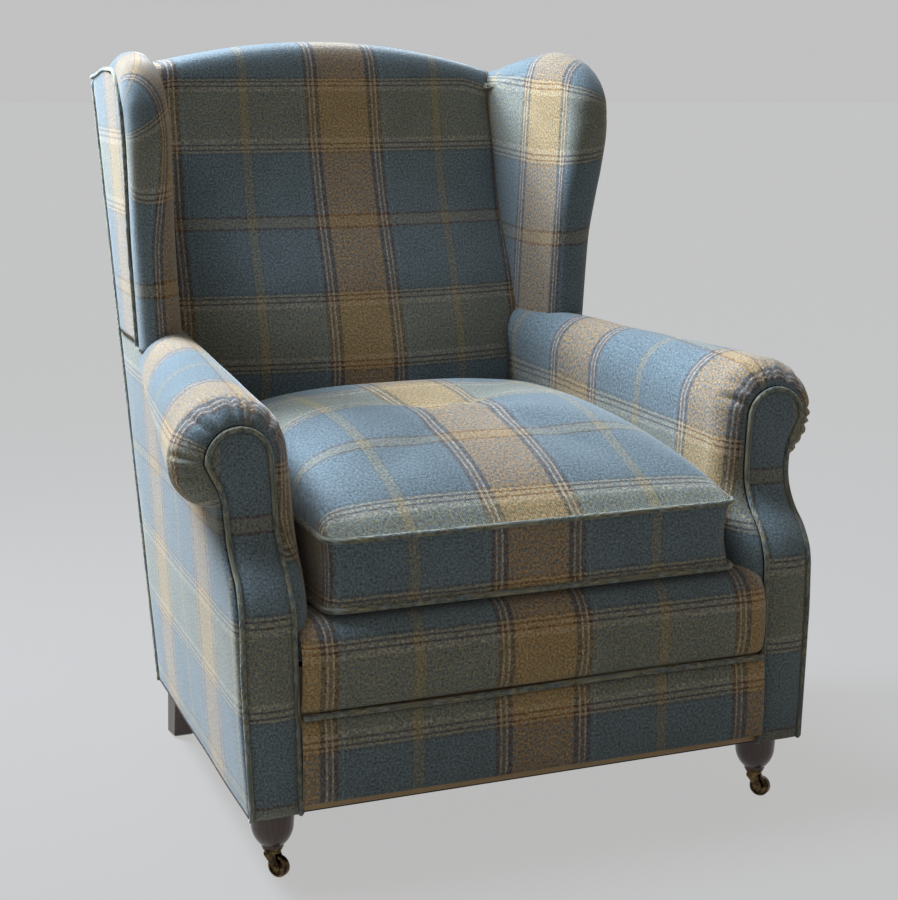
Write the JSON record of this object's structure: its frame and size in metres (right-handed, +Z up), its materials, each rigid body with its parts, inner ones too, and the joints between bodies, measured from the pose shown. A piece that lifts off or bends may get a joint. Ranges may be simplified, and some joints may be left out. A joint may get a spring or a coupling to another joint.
{
  "type": "wing armchair",
  "caption": "Upholstered wing armchair in plaid wool with scroll arms, a loose seat cushion, turned front legs on trailing castors and raked rear legs.",
  "frame": {"origin": "on the floor under the middle of the chair's box", "axes": "+Z up, the front of the chair faces -Y, +X is the viewer's right when facing the front"},
  "size_m": [0.93, 0.8433, 1.0379],
  "materials": {
    "plaid_wool": "heathered woven wool, plaid in teal-blue, beige and brown with pale double lines",
    "piping_cord": "the same wool sewn round a cord",
    "deck_cloth": "plain dark cloth over the seat springing",
    "dust_cloth": "thin black cloth",
    "webbing": "woven elastic webbing",
    "frame_timber": "planed hardwood, unfinished",
    "dark_wood": "turned and stained dark, satin",
    "castor_brass": "antique dark brass",
    "castor_wheel": "antique dark brass, worn tread",
    "bolt_steel": "zinc plated"
  },
  "bodies": {
    "chair": {"arm_facing_left": "plaid_wool", "arm_facing_right": "plaid_wool", "arm_padding_left": "plaid_wool", "arm_padding_right": "plaid_wool", "arm_rail_left": "frame_timber", "arm_rail_right": "frame_timber", "arm_stump_left": "frame_timber", "arm_stump_right": "frame_timber", "back_post_left": "frame_timber", "back_post_right": "frame_timber", "back_seat_rail": "frame_timber", "back_webbing": "webbing", "border_piping": "piping_cord", "castor_plate_left": "castor_brass", "castor_plate_right": "castor_brass", "corner_blocks": "frame_timber", "dust_cover": "dust_cloth", "facing_piping_left": "piping_cord", "facing_piping_right": "piping_cord", "front_border": "plaid_wool", "front_leg_left": "dark_wood", "front_leg_right": "dark_wood", "front_seat_rail": "frame_timber", "inside_back_padding": "plaid_wool", "leg_bolts": "bolt_steel", "lower_back_rail": "frame_timber", "outside_arm_panel_left": "plaid_wool", "outside_arm_panel_right": "plaid_wool", "outside_back_panel": "plaid_wool", "outside_wing_panel_left": "plaid_wool", "outside_wing_panel_right": "plaid_wool", "rear_leg_left": "dark_wood", "rear_leg_right": "dark_wood", "seat_deck": "deck_cloth", "seat_lip": "plaid_wool", "seat_webbing": "webbing", "side_seat_rail_left": "frame_timber", "side_seat_rail_right": "frame_timber", "side_tack_rail_left": "frame_timber", "side_tack_rail_right": "frame_timber", "top_back_rail": "frame_timber", "wing_board_left": "frame_timber", "wing_board_right": "frame_timber", "wing_padding_left": "plaid_wool", "wing_padding_right": "plaid_wool"},
    "cushion": {"seat_cushion": "plaid_wool", "cushion_piping": "piping_cord"},
    "castor_left": {"castor_horn_left": "castor_brass", "castor_axle_left": "castor_brass"},
    "wheel_left": {"castor_wheel_left": "castor_wheel"},
    "castor_right": {"castor_horn_right": "castor_brass", "castor_axle_right": "castor_brass"},
    "wheel_right": {"castor_wheel_right": "castor_wheel"}
  },
  "joints": [
    {"name": "cushion_lift", "type": "slide", "parent": "chair", "child": "cushion", "axis": [0, 0, 1], "range_m": [0, 0.3]},
    {"name": "castor_swivel_left", "type": "hinge", "parent": "chair", "child": "castor_left", "pos_m": [-0.358, -0.36125, 0.014], "axis": [0, 0, 1], "continuous": true},
    {"name": "castor_spin_left", "type": "hinge", "parent": "castor_left", "child": "wheel_left", "pos_m": [-0.35284, -0.36862, 0.014], "axis": [0.8192, 0.5736, 0], "continuous": true},
    {"name": "castor_swivel_right", "type": "hinge", "parent": "chair", "child": "castor_right", "pos_m": [0.358, -0.36125, 0.014], "axis": [0, 0, 1], "continuous": true},
    {"name": "castor_spin_right", "type": "hinge", "parent": "castor_right", "child": "wheel_right", "pos_m": [0.36316, -0.36862, 0.014], "axis": [0.8192, 0.5736, 0], "continuous": true}
  ]
}
